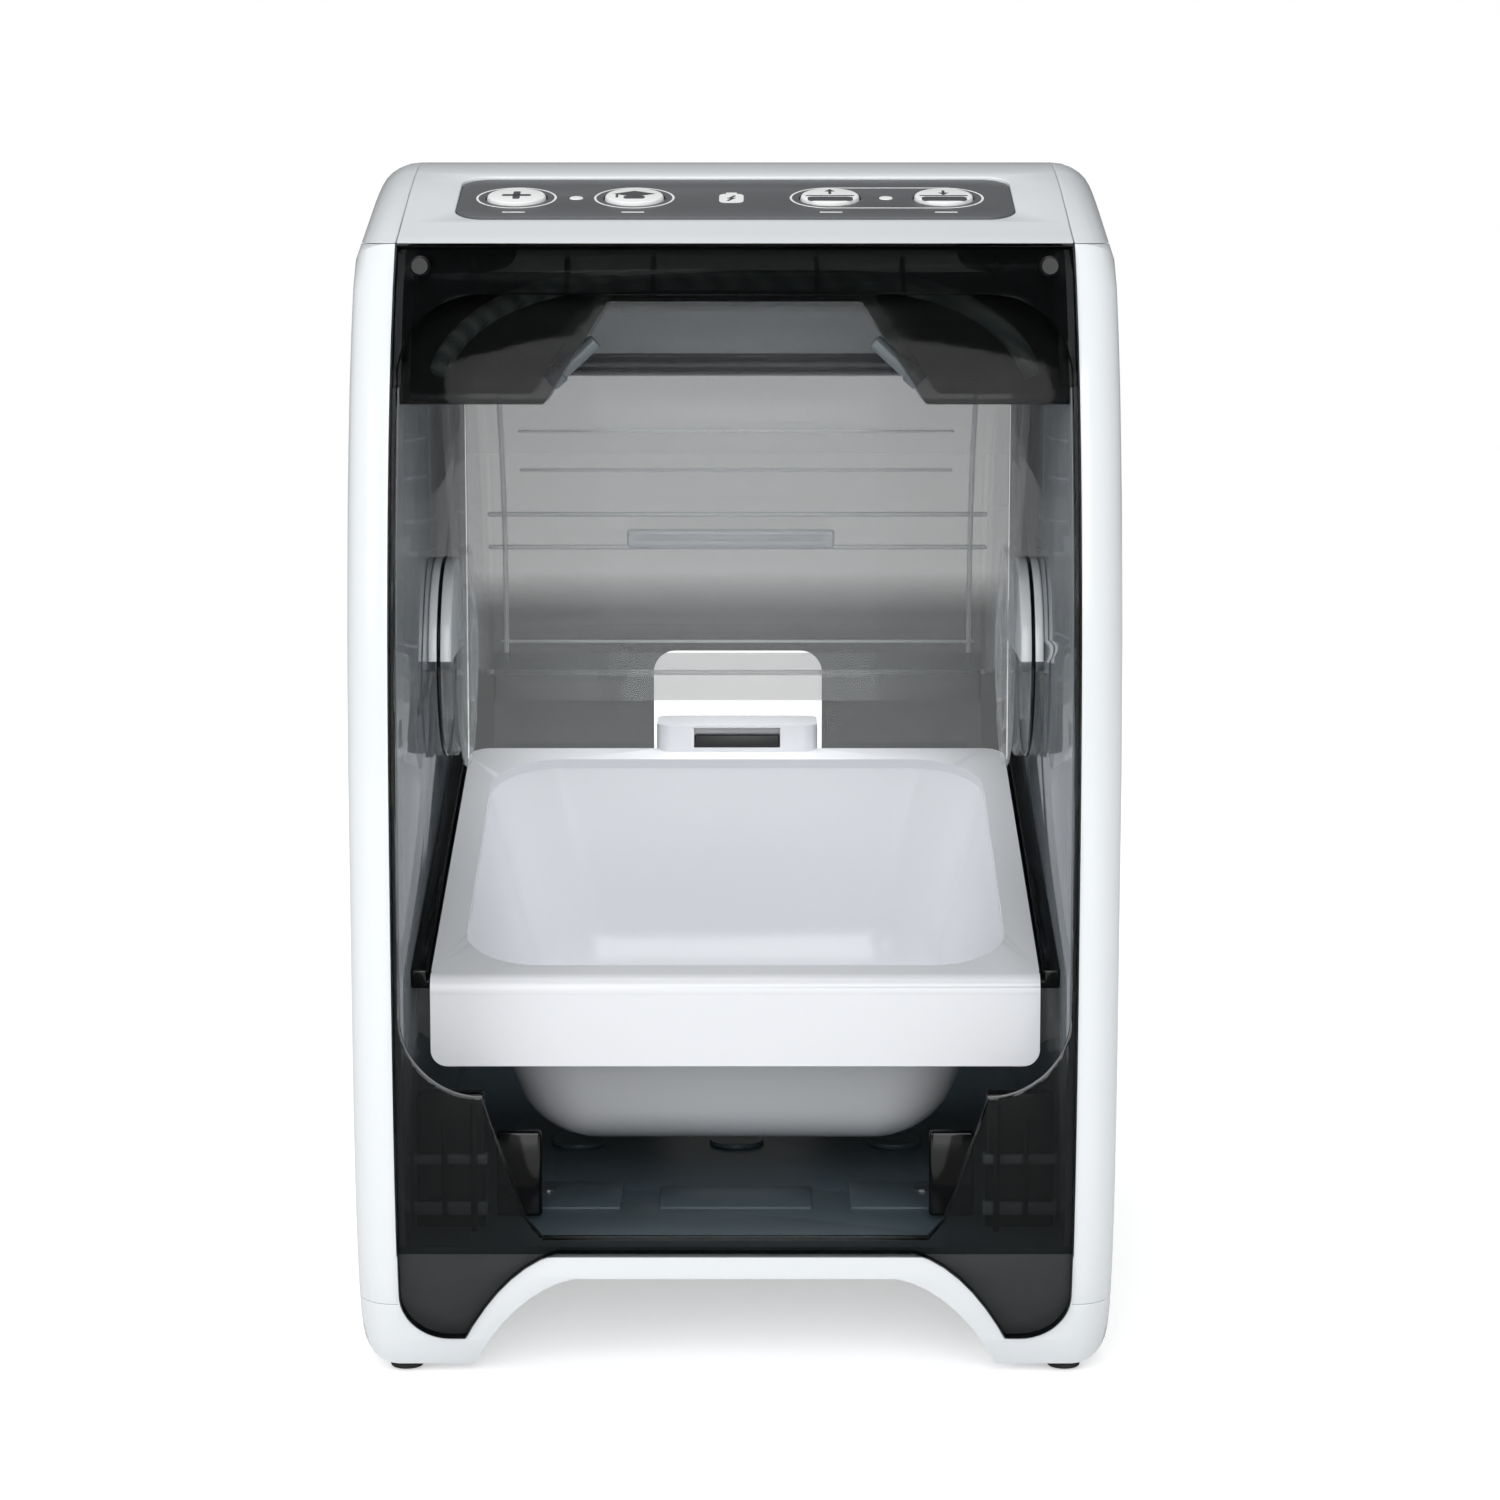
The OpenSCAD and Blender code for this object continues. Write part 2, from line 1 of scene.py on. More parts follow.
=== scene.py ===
import json
import math

import bpy
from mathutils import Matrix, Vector


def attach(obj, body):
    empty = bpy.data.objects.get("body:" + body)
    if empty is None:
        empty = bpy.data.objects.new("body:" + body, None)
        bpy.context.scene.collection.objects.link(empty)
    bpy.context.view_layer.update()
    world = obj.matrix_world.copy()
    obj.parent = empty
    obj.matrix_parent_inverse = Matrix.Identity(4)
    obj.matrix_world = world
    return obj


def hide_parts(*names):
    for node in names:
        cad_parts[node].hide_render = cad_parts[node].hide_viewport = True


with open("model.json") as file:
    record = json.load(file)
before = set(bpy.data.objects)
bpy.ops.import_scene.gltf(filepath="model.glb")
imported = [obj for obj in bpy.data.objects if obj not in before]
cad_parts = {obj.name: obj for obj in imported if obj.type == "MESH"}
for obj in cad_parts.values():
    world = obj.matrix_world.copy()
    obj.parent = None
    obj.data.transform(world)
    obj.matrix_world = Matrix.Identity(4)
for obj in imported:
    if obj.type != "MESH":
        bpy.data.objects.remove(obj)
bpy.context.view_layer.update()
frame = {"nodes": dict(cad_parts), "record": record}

bl_info = {
    "name": "Microchip pet feeder",
    "version": (1, 0, 0),
    "blender": (4, 5, 0),
    "location": "3D View > Sidebar > Feeder",
    "description": "Finishes and moulded details of a microchip pet feeder around its CAD frame",
    "category": "Object",
}

MM = 0.001
WHITE = (1, 1, 1, 1)
NODES = frame["nodes"]
BODY_OF = {node: body for body, names in frame["record"]["behaviour"]["bodies"].items() for node in names}
SLOT_OF = {part["node"]: part["material_slot"] for part in frame["record"]["subparts"]}


# Small helpers for materials

def linear(hex_colour):
    """An sRGB hex colour as linear red, green, blue and alpha."""
    parts = [int(hex_colour[i:i + 2], 16) / 255 for i in (1, 3, 5)]
    return [p / 12.92 if p <= 0.04045 else ((p + 0.055) / 1.055) ** 2.4 for p in parts] + [1.0]


def add_node(tree, kind, links=(), **values):
    """Adds a shader node, sets its sockets and properties by name, and links (socket, source) pairs."""
    node = tree.nodes.new(kind)
    for key, value in values.items():
        socket = next((s for s in node.inputs if s.name.lower() == key.replace("_", " ")), None)
        if socket is None:
            setattr(node, key, value)
        else:
            socket.default_value = value
    for socket, source in links:
        tree.links.new(source, node.inputs[socket])
    return node


def new_material(name, colour, roughness, **shader):
    """A principled material with its fixed values on the shader's own sockets."""
    material = bpy.data.materials.new(name)
    material.use_nodes = True
    tree = material.node_tree
    bsdf = tree.nodes["Principled BSDF"]
    bsdf.inputs["Base Color"].default_value = linear(colour)
    bsdf.inputs["Roughness"].default_value = roughness
    for key, value in shader.items():
        bsdf.inputs[key.replace("_", " ")].default_value = value
    return material, tree, bsdf


# Patches of uneven polish per metre, and the depth of a skin's bump as a part of its width.
CLOUD_SCALE = 18.0
BUMP_DEPTH = 0.1


def moulded_skin(tree, bsdf, grain_mm, bump, mottle=0.02, seed=0.0):
    """Fine bump of a moulded skin, and slight variation of its roughness. Grain is the size of one bump."""
    place = add_node(tree, "ShaderNodeTexCoord")
    grain = add_node(tree, "ShaderNodeTexNoise", [("Vector", place.outputs["Object"])],
                     scale=1 / (grain_mm * MM), detail=2.0)
    height = add_node(tree, "ShaderNodeBump", [("Height", grain.outputs["Fac"])],
                      strength=bump, distance=grain_mm * MM * BUMP_DEPTH)
    tree.links.new(height.outputs["Normal"], bsdf.inputs["Normal"])
    cloud = add_node(tree, "ShaderNodeTexNoise", [("Vector", place.outputs["Object"])],
                     scale=CLOUD_SCALE + seed, detail=3.0)
    base = bsdf.inputs["Roughness"].default_value
    spread = add_node(tree, "ShaderNodeMapRange", [("Value", cloud.outputs["Fac"])],
                      to_min=base - mottle, to_max=base + mottle)
    tree.links.new(spread.outputs["Result"], bsdf.inputs["Roughness"])


def gloss_abs():
    """High-gloss white ABS: a cool white skin whose polish wavers a little where the tool flowed."""
    material, tree, bsdf = new_material("gloss_white_abs", "#E9EDF0", 0.16, Coat_Weight=0.25, Coat_Roughness=0.06)
    moulded_skin(tree, bsdf, 2.5, 0.05)
    return material


def tinted_polycarbonate(name, colour, cover, edge_cover=1.0, roughness=0.05, deep=None, shine=0.4):
    """Polished tinted polycarbonate: its skins cover what is behind them, more so where they turn away.
    Deep gives two heights in metres and how many times the cover changes from the upper to the lower one."""
    material, tree, bsdf = new_material(name, colour, roughness, IOR=1.5, Specular_IOR_Level=shine)
    moulded_skin(tree, bsdf, 6.0, 0.04, mottle=0.015, seed=4)
    edge = add_node(tree, "ShaderNodeLayerWeight", blend=0.3)
    veil = add_node(tree, "ShaderNodeMapRange", [("Value", edge.outputs["Facing"])], to_min=cover, to_max=edge_cover)
    if deep:
        place = add_node(tree, "ShaderNodeTexCoord")
        height = add_node(tree, "ShaderNodeSeparateXYZ", [("Vector", place.outputs["Object"])])
        tint = add_node(tree, "ShaderNodeMapRange", [("Value", height.outputs["Z"])], from_min=deep[0],
                        from_max=deep[1], to_min=cover * deep[2], to_max=cover)
        tree.links.new(tint.outputs["Result"], veil.inputs["To Min"])
    tree.links.new(veil.outputs["Result"], bsdf.inputs["Alpha"])
    return material


def clear_polycarbonate(name, face_on, edge_on):
    """Clear polycarbonate: nearly unseen face on, bright and grey where an edge turns away."""
    material, tree, bsdf = new_material(name, "#EEF2F4", 0.03, IOR=1.58, Alpha=0.12)
    edge = add_node(tree, "ShaderNodeLayerWeight", blend=0.35)
    veil = add_node(tree, "ShaderNodeMapRange", [("Value", edge.outputs["Facing"])], to_min=face_on, to_max=edge_on)
    tree.links.new(veil.outputs["Result"], bsdf.inputs["Alpha"])
    return material


def black_abs():
    """Gloss black ABS, polished like the frame beside it."""
    material, tree, bsdf = new_material("gloss_black_abs", "#08090A", 0.12, Specular_IOR_Level=0.4)
    moulded_skin(tree, bsdf, 3.0, 0.04)
    return material


def food_plastic():
    """Gloss food-safe polypropylene of the bowl: a softer white with a faint blue shade."""
    material, tree, bsdf = new_material("bowl_polypropylene", "#E6E8EC", 0.22, Subsurface_Weight=0.05,
                                        Subsurface_Radius=(0.004, 0.004, 0.005))
    moulded_skin(tree, bsdf, 1.6, 0.04)
    return material


def satin(name, colour, roughness, grain_mm=0.6, bump=0.15, metallic=0.0):
    """Satin moulded or printed skin with a fine even grain."""
    material, tree, bsdf = new_material(name, colour, roughness, Metallic=metallic)
    moulded_skin(tree, bsdf, grain_mm, bump, mottle=0.04)
    return material


def wound_tape():
    """Cloth tape wound round the antenna wire: a slanting lap every 5 mm over a 0.8 mm weave."""
    lap_scale, weave_scale = 63.0, 1250.0
    material, tree, bsdf = new_material("wound_cloth_tape", "#A5B5B2", 0.75)
    place = add_node(tree, "ShaderNodeTexCoord")
    lap = add_node(tree, "ShaderNodeTexWave", [("Vector", place.outputs["Object"])],
                   scale=lap_scale, distortion=1.5, wave_type="BANDS", bands_direction="DIAGONAL")
    weave = add_node(tree, "ShaderNodeTexVoronoi", [("Vector", place.outputs["Object"])],
                     scale=weave_scale)
    shade = add_node(tree, "ShaderNodeMapRange", [("Value", lap.outputs["Fac"])], to_min=0.35, to_max=1.0)
    tone = add_node(tree, "ShaderNodeMixRGB", [("Fac", shade.outputs["Result"])], blend_type="MIX")
    tone.inputs["Color1"].default_value = linear("#6C7E7C")
    tone.inputs["Color2"].default_value = linear("#CBDAD7")
    tree.links.new(tone.outputs[0], bsdf.inputs["Base Color"])
    rise = add_node(tree, "ShaderNodeMath", [(0, lap.outputs["Fac"]), (1, weave.outputs["Distance"])],
                    operation="ADD")
    bump = add_node(tree, "ShaderNodeBump", [("Height", rise.outputs[0])], strength=0.6, distance=0.6 * MM)
    tree.links.new(bump.outputs["Normal"], bsdf.inputs["Normal"])
    return material


MATERIALS = {}


def make_materials():
    MATERIALS.update(
        white_abs=gloss_abs(),
        smoke_pc=tinted_polycarbonate("smoke_polycarbonate", "#0B0E0F", 0.26, deep=(0.27, 0.3, 1.8), shine=0.2),
        smoke_hood=tinted_polycarbonate("smoke_polycarbonate_hood", "#0A0B0B", 0.55, shine=0.2),
        guard_pc=tinted_polycarbonate("clear_polycarbonate_guard", "#8E9294", 0.36, 0.6),
        smoke_floor=tinted_polycarbonate("smoke_polycarbonate_floor", "#4C5A61", 0.9, roughness=0.3),
        grey_pc=tinted_polycarbonate("grey_polycarbonate", "#41484D", 0.42, 0.85, deep=(0.206, 0.221, 1.7)),
        clear_pc=clear_polycarbonate("clear_polycarbonate", 0.02, 0.26),
        # Clear lid ribs made half opaque and white: their brightness is painted highlight, bright lines along the
        # clear lid.
        clear_rib=clear_polycarbonate("clear_polycarbonate_rib_painted_highlight", 0.4, 0.85),
        liner_pc=tinted_polycarbonate("grey_polycarbonate_liner", "#8C9398", 0.68, 0.85),
        black_abs=black_abs(),
        grey_overlay=satin("printed_polyester_overlay", "#5B5D60", 0.42, 0.4, 0.1),
        white_button=satin("silicone_key_cap", "#F1F2F2", 0.38, 0.5, 0.12),
        circuit_board=satin("glass_epoxy_board", "#0E4A26", 0.4),
        coil_tape=wound_tape(),
        print_ink=satin("screen_print_ink", "#EDEEEE", 0.5, 0.4, 0.1),
        icon_ink=satin("dark_screen_print_ink", "#4B4D50", 0.5, 0.4, 0.1),
        # Polished grey of the pod posts; on the leg ridges the same finish is painted highlight, light lines across
        # the legs.
        post_chrome=satin("polished_grey_polycarbonate_and_painted_highlight", "#6F777B", 0.18, 3.0, 0.05),
        cell_wrap=satin("cell_sleeve", "#9A7A3A", 0.35),
        steel=satin("zinc_plated_steel", "#B9BCC0", 0.3, 0.4, 0.1, metallic=1.0),
        acetal=satin("natural_acetal", "#E6E2D2", 0.4),
        black_screw=satin("black_oxide_steel", "#1A1B1C", 0.35),
        foot_rubber=satin("moulded_rubber", "#18191A", 0.75, 0.5, 0.4),
        seal_rubber=satin("silicone_seal", "#C9CCCE", 0.45),
        bowl_plastic=food_plastic(),
    )


def finish_piece(piece, body, slot, *nodes, finish=None):
    """Says where a new piece rides, what it stands for and what it is made of."""
    piece.data.materials.clear()
    piece.data.materials.append(MATERIALS[finish or slot])
    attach(piece, body)
    if nodes:
        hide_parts(*nodes)
    return piece


# Small helpers for shapes. Each one works on the object that it is given and leaves object mode.

def start_new():
    """Leaves edit mode and drops the selection, so that an operator acts on the new shape alone."""
    if bpy.context.object and bpy.context.object.mode != "OBJECT":
        bpy.ops.object.mode_set(mode="OBJECT")
    bpy.ops.object.select_all(action="DESELECT")


def hold(shape):
    """Makes one shape the only one selected and active."""
    start_new()
    shape.select_set(True)
    bpy.context.view_layer.objects.active = shape
    return shape


def settle(shape):
    """Applies a shape's place, turn and scale, so that its object sits at the origin."""
    hold(shape)
    bpy.ops.object.transform_apply(location=True, rotation=True, scale=True)
    return shape


def block(name, low, high):
    """A block between two corners in millimetres."""
    start_new()
    bpy.ops.mesh.primitive_cube_add(size=MM, location=[(a + b) / 2 * MM for a, b in zip(low, high)])
    shape = bpy.context.object
    shape.name = name
    shape.scale = [b - a for a, b in zip(low, high)]
    return settle(shape)


def rod(name, radius, length, place, turn=(0, 0, 0), sides=48):
    """A round rod in millimetres, with its middle at place. It stands along Z before its turn in degrees."""
    start_new()
    bpy.ops.mesh.primitive_cylinder_add(vertices=sides, radius=radius * MM, depth=length * MM,
                                        location=[c * MM for c in place], rotation=[math.radians(a) for a in turn])
    shape = bpy.context.object
    shape.name = name
    return settle(shape)


def ring(name, radius, thickness, place, turn=(0, 0, 0), sides=64, profile=12):
    """A round ring in millimetres about Z before its turn in degrees."""
    start_new()
    bpy.ops.mesh.primitive_torus_add(major_radius=radius * MM, minor_radius=thickness * MM, major_segments=sides,
                                     minor_segments=profile, location=[c * MM for c in place],
                                     rotation=[math.radians(a) for a in turn])
    shape = bpy.context.object
    shape.name = name
    return settle(shape)


def work(shape, kind, test, *steps):
    """Selects the faces or edges whose middle and normal pass a test, and runs edit operators on them."""
    hold(shape)
    mesh = shape.data
    for item in [*mesh.vertices, *mesh.edges, *mesh.polygons]:
        item.select = False
    if kind == "FACE":
        for face in mesh.polygons:
            face.select = test(face.center / MM, face.normal)
    else:
        for edge in mesh.edges:
            a, b = (mesh.vertices[v].co for v in edge.vertices)
            edge.select = test((a + b) / 2 / MM, (b - a).normalized())
    bpy.ops.object.mode_set(mode="EDIT")
    bpy.context.tool_settings.mesh_select_mode = (False, kind == "EDGE", kind == "FACE")
    for operator, settings in steps:
        operator(**settings)
    bpy.ops.object.mode_set(mode="OBJECT")
    return shape


def everything(middle, normal):
    """Passes each face."""
    return True


def finish_with(shape, kind, **settings):
    """Adds a modifier with its settings and applies it."""
    hold(shape)
    bpy.ops.object.modifier_add(type=kind)
    modifier = shape.modifiers[-1]
    for key, value in settings.items():
        setattr(modifier, key, value)
    bpy.ops.object.modifier_apply(modifier=modifier.name)
    return shape


def soften(shape, width, segments=3, angle=30):
    """Rounds the edges sharper than an angle by a width in millimetres and shades the rest smooth."""
    finish_with(shape, "BEVEL", width=width * MM, segments=segments, limit_method="ANGLE",
                angle_limit=math.radians(angle), use_clamp_overlap=True, harden_normals=False)
    hold(shape)
    bpy.ops.object.shade_smooth_by_angle(angle=math.radians(angle))
    return shape


def join(name, shapes):
    """Joins shapes into one."""
    start_new()
    for shape in shapes:
        shape.select_set(True)
    bpy.context.view_layer.objects.active = shapes[0]
    bpy.ops.object.join()
    shapes[0].name = name
    return shapes[0]


def copy_of_node(node, name, whole_faces=True):
    """A copy of a CAD node with its triangles merged, and flat ones joined to whole faces if asked."""
    hold(NODES[node])
    bpy.ops.object.duplicate()
    shape = bpy.context.object
    shape.name = name
    for key in list(shape.keys()):
        del shape[key]
    steps = [(bpy.ops.mesh.remove_doubles, {"threshold": 0.01 * MM})]
    if whole_faces:
        steps.append((bpy.ops.mesh.dissolve_limited, {"angle_limit": math.radians(0.6)}))
    return work(shape, "FACE", everything, *steps)


# Studio lengths in metres: the floor's side, how far it lies under the feet, and what the lamps point at.
FLOOR_SIZE = 9
FLOOR_DROP = 0.0004
LAMP_AIM = (0, 0.04, 0.17)
# Power of the low lamp as a share of the front one, of the top lamp as a share of the key, and the bay's cone.
LOW_SHARE = 0.25
TOP_SHARE = 0.9
BAY_SPREAD = 100
# Strength of the background as light, and as it shows in mirror images.
AMBIENT = 0.42
AMBIENT_IN_GLOSS = 0.12
# The camera's sensor in millimetres, and how many clear skins one ray may pass.
SENSOR_WIDTH = 36
CLEAR_BOUNCES = 24


class FEEDER_OT_stage(bpy.types.Operator):
    """Makes the pale floor, the studio light and the camera at the photograph's angle"""
    bl_idname = "feeder.stage"
    bl_label = "Stage"

    def execute(self, context):
        s = context.scene.feeder_stage
        self.add_floor()
        self.light_world(context.scene)
        self.add_light("key", (-1.5, -1.6, 1.0), 0.9, s.key_power)
        self.add_light("front", (0.2, -2.0, 1.25), 1.3, s.front_power)
        self.add_light("low", (0, -1.8, 0.25), 0.8, s.front_power * LOW_SHARE)
        self.add_light("top", (-0.2, 0.2, 2.0), 1.2, s.key_power * TOP_SHARE)
        bay = self.add_light("bay", (0, 0.045, 0.285), 0.1, s.bay_power)
        bay.data.spread = math.radians(BAY_SPREAD)
        bay.visible_camera = bay.visible_glossy = bay.visible_transmission = False
        cam = bpy.data.cameras.new("camera")
        cam.sensor_width = SENSOR_WIDTH
        cam.lens = s.lens
        camera = bpy.data.objects.new("camera", cam)
        context.scene.collection.objects.link(camera)
        camera.location = (s.camera_side, -s.camera_distance, s.camera_height)
        camera.rotation_euler = (math.radians(90) - s.camera_pitch, 0, 0)
        context.scene.camera = camera
        context.scene.view_settings.view_transform = "Standard"
        context.scene.cycles.transparent_max_bounces = CLEAR_BOUNCES
        return {"FINISHED"}

    def add_floor(self):
        """Adds studio paper that the camera sees as white and that takes a soft shadow near the feeder."""
        start_new()
        bpy.ops.mesh.primitive_plane_add(size=FLOOR_SIZE, location=(0, 0, -FLOOR_DROP))
        floor = bpy.context.object
        floor.name = "floor"
        material, tree, bsdf = new_material("studio_paper", "#F6F6F6", 0.9)
        seen = self.seen_rays(tree, add_node(tree, "ShaderNodeLightPath"))
        place = add_node(tree, "ShaderNodeTexCoord")
        reach = add_node(tree, "ShaderNodeVectorMath", [(0, place.outputs["Object"])], operation="LENGTH")
        fade = add_node(tree, "ShaderNodeMapRange", [("Value", reach.outputs["Value"])],
                        from_min=0.25, from_max=1.3, to_min=0.45, to_max=0.65)
        lift = add_node(tree, "ShaderNodeMath", [(0, seen), (1, fade.outputs[0])], operation="MULTIPLY")
        glow = add_node(tree, "ShaderNodeEmission", [("Strength", lift.outputs[0])], color=WHITE)
        paper = add_node(tree, "ShaderNodeAddShader", [(0, bsdf.outputs[0]), (1, glow.outputs[0])])
        tree.links.new(paper.outputs[0], tree.nodes["Material Output"].inputs["Surface"])
        floor.data.materials.append(material)

    def light_world(self, scene):
        """Makes the background white to the camera, and dimmer in mirror images and as light."""
        world = scene.world or bpy.data.worlds.new("studio")
        scene.world = world
        world.use_nodes = True
        tree = world.node_tree
        tree.nodes.clear()
        ray = add_node(tree, "ShaderNodeLightPath")
        dim = add_node(tree, "ShaderNodeMapRange", [("Value", ray.outputs["Is Glossy Ray"])],
                       to_min=AMBIENT, to_max=AMBIENT_IN_GLOSS)
        lit = add_node(tree, "ShaderNodeBackground", [("Strength", dim.outputs["Result"])], color=WHITE)
        white = add_node(tree, "ShaderNodeBackground", color=WHITE, strength=1.0)
        mixed = add_node(tree, "ShaderNodeMixShader", [(0, self.seen_rays(tree, ray)), (1, lit.outputs[0]),
                                                       (2, white.outputs[0])])
        add_node(tree, "ShaderNodeOutputWorld", [("Surface", mixed.outputs[0])])

    def seen_rays(self, tree, ray):
        """One for rays from the camera, straight or through clear parts, and zero for the rest."""
        return add_node(tree, "ShaderNodeMath", [(0, ray.outputs["Is Camera Ray"]),
                                                 (1, ray.outputs["Is Transmission Ray"])],
                        operation="MAXIMUM").outputs[0]

    def add_light(self, name, place, size, power):
        """Adds a square lamp that points at the feeder's middle."""
        light = bpy.data.lights.new(name, "AREA")
        light.size = size
        light.energy = power
        lamp = bpy.data.objects.new(name, light)
        bpy.context.scene.collection.objects.link(lamp)
        lamp.location = place
        aim = Vector(LAMP_AIM) - lamp.location
        lamp.rotation_euler = aim.to_track_quat("-Z", "Y").to_euler()
        return lamp


class FeederStage(bpy.types.PropertyGroup):
    camera_distance: bpy.props.FloatProperty(
        name="Camera distance", description="From the object's middle, level", default=1.234, unit="LENGTH")
    camera_height: bpy.props.FloatProperty(
        name="Camera height", description="Above the floor", default=0.348, unit="LENGTH")
    camera_side: bpy.props.FloatProperty(
        name="Camera side step", description="To the right of the middle plane", default=0.0045, unit="LENGTH")
    camera_pitch: bpy.props.FloatProperty(
        name="Camera pitch", description="Downwards", default=math.radians(8), subtype="ANGLE")
    lens: bpy.props.FloatProperty(name="Lens", description="Focal length in millimetres", default=89.86)
    key_power: bpy.props.FloatProperty(
        name="Key light", description="Power of the key light in watts", default=11.0)
    front_power: bpy.props.FloatProperty(
        name="Front light", description="Power of the large light beside the camera in watts", default=17.0)
    bay_power: bpy.props.FloatProperty(
        name="Bay light", description="Power of the small fill lamp over the bowl in watts", default=0.075)


class FEEDER_OT_finishes(bpy.types.Operator):
    """Gives every CAD node the finish of its material slot"""
    bl_idname = "feeder.finishes"
    bl_label = "Finishes"

    def execute(self, context):
        for name, node in NODES.items():
            node.data.materials.clear()
            node.data.materials.append(MATERIALS[SLOT_OF[name]])
        return {"FINISHED"}


# Each moulded node with the radius of its edges in millimetres.
EDGE_RADII = {
    "base_frame": 0.8, "left_side_casing": 0.4, "right_side_casing": 0.4, "top_cover": 0.5,
    "left_battery_cover": 0.4, "right_battery_cover": 0.4, "front_bezel": 0.9, "rear_shield": 0.5,
    "ceiling_housing": 1.2, "rear_guard": 0.5, "left_rail": 0.8, "right_rail": 0.8, "left_hub_mount": 0.8,
    "right_hub_mount": 0.8, "control_panel": 0.3, "lid_shell": 0.4, "lid_flanges": 0.4, "left_hub": 0.9,
    "right_hub": 0.9, "bowl": 1.0, "bowl_grip": 0.5, "button_add": 0.5, "button_train": 0.5,
    "button_open": 0.5, "button_close": 0.5, "lid_seal": 0.2, "left_liner": 0.3, "right_liner": 0.3,
    "liner_floor": 0.3, "lid_motor": 1.0, "feet": 0.5, "indicator_leds": 0.3,
}

# Nodes whose finish differs a little from the rest of their slot.
OWN_FINISH = {"liner_floor": "smoke_floor", "ceiling_housing": "smoke_hood", "left_liner": "liner_pc",
              "right_liner": "liner_pc", "lid_seal": "smoke_hood"}

# The roll at the bowl's front edge in millimetres: half its length, its radius, its middle and how far in front
# of its middle the cut that takes the sharp corner off ends.
ROLL_HALF = 92.98
ROLL_RADIUS = 5.0
ROLL_MIDDLE = (0, -109.9, 116.32)
ROLL_CUT = 1.28

# In millimetres: heights of the guard's thicker band, top of the ceiling's dark band of painted shade and where it
# starts in depth.
GUARD_BAND = (177, 194)
CEILING_SHADE_TOP = 303.5
CEILING_REAR = 60


def second_finish(piece, finish, *cuts):
    """Adds a finish beside a piece's own one, and cuts its faces at heights in millimetres."""
    piece.data.materials.append(MATERIALS[finish])
    piece.active_material_index = 1
    for cut in cuts:
        work(piece, "FACE", everything,
             (bpy.ops.mesh.bisect, {"plane_co": (0, 0, cut * MM), "plane_no": (0, 0, 1)}))
    return piece


class FEEDER_OT_mouldings(bpy.types.Operator):
    """Gives each moulded part the small edge radius that its tool leaves, and a smooth skin"""
    bl_idname = "feeder.mouldings"
    bl_label = "Mouldings"

    def execute(self, context):
        for node, radius in EDGE_RADII.items():
            piece = copy_of_node(node, node + "_moulding", whole_faces=node != "bowl")
            if node == "bowl":
                self.round_lip(piece)
            soften(piece, radius * context.scene.feeder_moulding.edge_scale)
            if node == "bowl":
                finish_with(piece, "WEIGHTED_NORMAL", keep_sharp=True)
            finish_piece(piece, BODY_OF[node], SLOT_OF[node], node, finish=OWN_FINISH.get(node))
        return {"FINISHED"}

    def round_lip(self, bowl):
        """Rolls the bowl's rim over into its front lip, round a rod that touches both planes."""
        roll = rod("roll", ROLL_RADIUS, 2 * ROLL_HALF, ROLL_MIDDLE, (0, 90, 0), sides=64)
        corner = block("corner", (-100, -120, ROLL_MIDDLE[2]), (100, ROLL_MIDDLE[1] - ROLL_CUT, 126))
        finish_with(corner, "BOOLEAN", object=roll, operation="DIFFERENCE", solver="EXACT")
        finish_with(bowl, "BOOLEAN", object=corner, operation="DIFFERENCE", solver="EXACT")
        finish_with(bowl, "BOOLEAN", object=roll, operation="UNION", solver="EXACT")
        for tool in (roll, corner):
            bpy.data.objects.remove(tool)
        work(bowl, "FACE", everything, (bpy.ops.mesh.remove_doubles, {"threshold": 0.03 * MM}))


class FEEDER_OT_bezel_rim(bpy.types.Operator):
    """Runs the dark rim round the tinted frame, paints shade as a dark band on the ceiling's lower rear, and veils
    the guard's thicker band
    """
    bl_idname = "feeder.bezel_rim"
    bl_label = "Bezel rim"

    def execute(self, context):
        rim = context.scene.feeder_moulding.bezel_rim * MM
        assign = (bpy.ops.object.material_slot_assign, {})
        guard = second_finish(bpy.data.objects["rear_guard_moulding"], "guard_pc", *GUARD_BAND)
        work(guard, "FACE", lambda middle, normal: GUARD_BAND[0] < middle.z < GUARD_BAND[1], assign)
        bezel = second_finish(bpy.data.objects["front_bezel_moulding"], "black_abs")
        work(bezel, "FACE", lambda middle, normal: abs(normal.y) > 0.2,
             (bpy.ops.mesh.inset, {"thickness": rim, "use_even_offset": True}),
             (bpy.ops.mesh.select_all, {"action": "INVERT"}), assign)
        # The ceiling's lower rear takes black as painted shade: a dark band along its rear edge.
        ceiling = second_finish(bpy.data.objects["ceiling_housing_moulding"], "black_abs")
        work(ceiling, "FACE", lambda middle, normal: middle.y > CEILING_REAR,
             (bpy.ops.mesh.bisect, {"plane_co": (0, 0, CEILING_SHADE_TOP * MM), "plane_no": (0, 0, 1)}))
        work(ceiling, "FACE", lambda middle, normal: middle.y > CEILING_REAR and middle.z < CEILING_SHADE_TOP, assign)
        return {"FINISHED"}


class FeederMoulding(bpy.types.PropertyGroup):
    edge_scale: bpy.props.FloatProperty(
        name="Edge radius scale", description="Scales the radius of every moulded edge", default=1.0)
    bezel_rim: bpy.props.FloatProperty(
        name="Bezel rim", description="Width of the dark rim of the tinted frame, in millimetres", default=1.2)


# Control deck: its middle in millimetres and its slope in degrees, as the CAD panel has them.
DECK_PLACE = (0, -55, 355.4)
DECK_SLOPE = 15
PANEL_TOP = 0.6
KEY_TOP = 1.5
KEY_X = {"button_add": -68.2, "button_train": -31.5, "button_open": 29.4, "button_close": 64.8}

